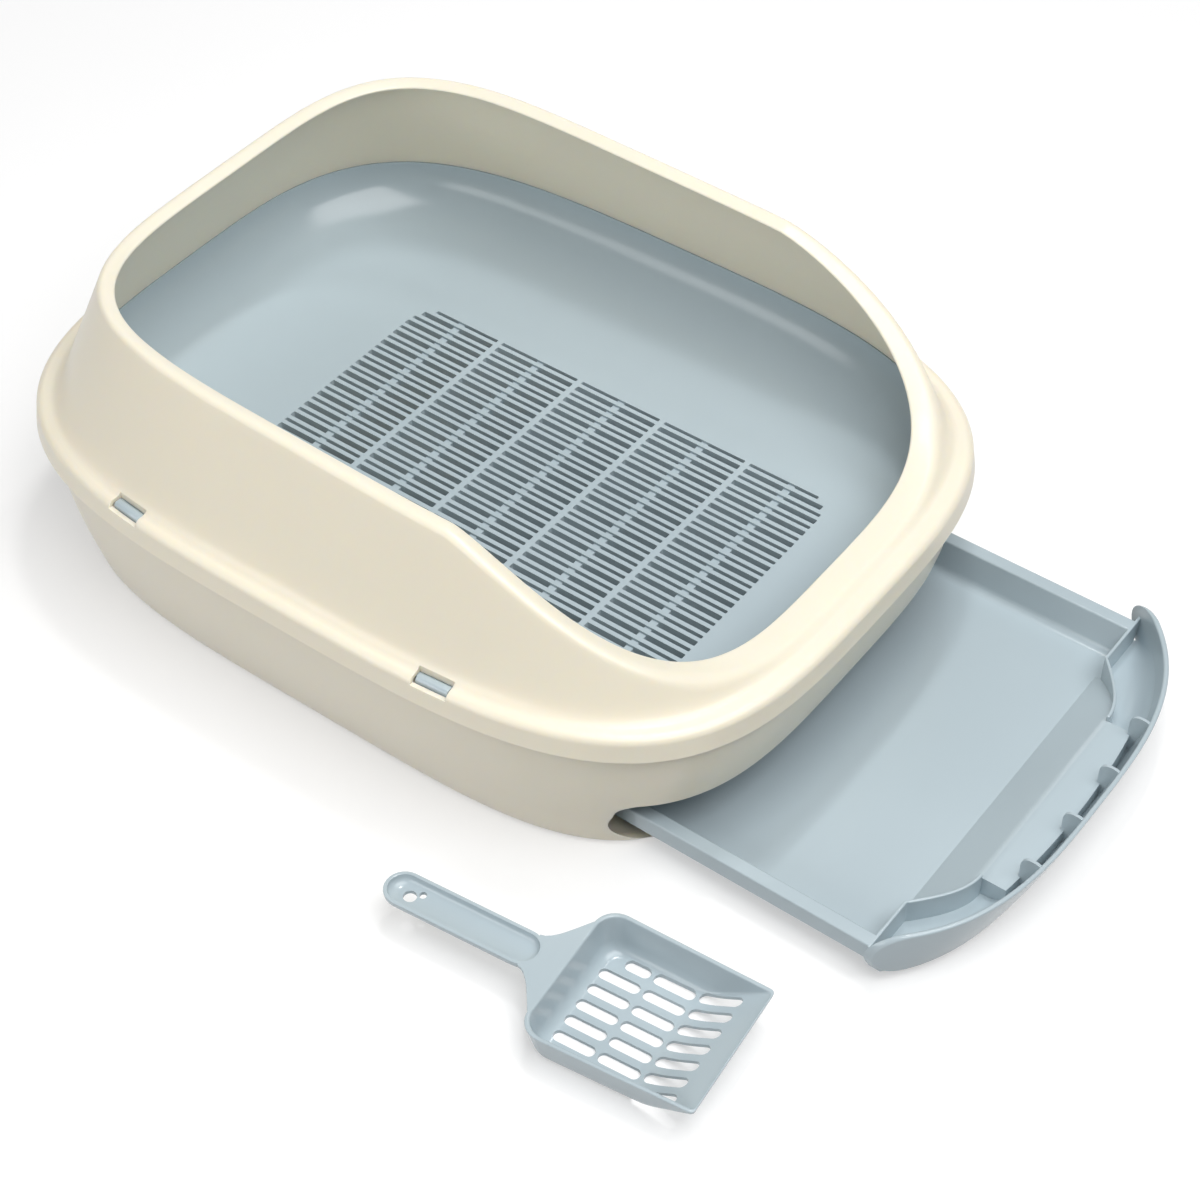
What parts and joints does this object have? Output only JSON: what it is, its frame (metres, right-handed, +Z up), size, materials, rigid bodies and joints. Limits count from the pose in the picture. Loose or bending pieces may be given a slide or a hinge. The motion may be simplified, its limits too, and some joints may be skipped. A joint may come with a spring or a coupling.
{
  "type": "drawer litter box",
  "caption": "Sifting litter box: tub, sieve basin and raised fence with a low entrance, a waste drawer that slides out under the sieve, and a slotted scoop.",
  "frame": {"origin": "on the floor, at the plan centre of the tub's flat underside", "axes": "+X towards the entrance and the way the drawer is drawn out, +Y towards the far long side, +Z up"},
  "size_m": [0.7092, 0.5219, 0.2039],
  "materials": {
    "cream_plastic": "satin moulded polypropylene",
    "blue_grey_plastic": "satin moulded polypropylene"
  },
  "bodies": {
    "tub": {"base_tub": "cream_plastic"},
    "basin": {"basin_shell": "blue_grey_plastic", "sieve_plate": "blue_grey_plastic", "clip_near_rear": "blue_grey_plastic", "clip_near_front": "blue_grey_plastic", "clip_far_rear": "blue_grey_plastic", "clip_far_front": "blue_grey_plastic"},
    "fence": {"upper_fence": "cream_plastic"},
    "drawer": {"drawer_tray": "blue_grey_plastic", "drawer_front": "blue_grey_plastic"},
    "scoop": {"scoop": "blue_grey_plastic"}
  },
  "joints": [
    {"name": "drawer_slide", "type": "slide", "parent": "tub", "child": "drawer", "axis": [1, 0, 0], "range_m": [-0.1715, 0.14]},
    {"name": "basin_lift", "type": "slide", "parent": "tub", "child": "basin", "axis": [0, 0, 1], "range_m": [0, 0.15]},
    {"name": "fence_lift", "type": "slide", "parent": "basin", "child": "fence", "axis": [0, 0, 1], "range_m": [0, 0.15]},
    {"name": "scoop_lift", "type": "slide", "parent": "tub", "child": "scoop", "axis": [0, 0, 1], "range_m": [0, 0.3]}
  ]
}
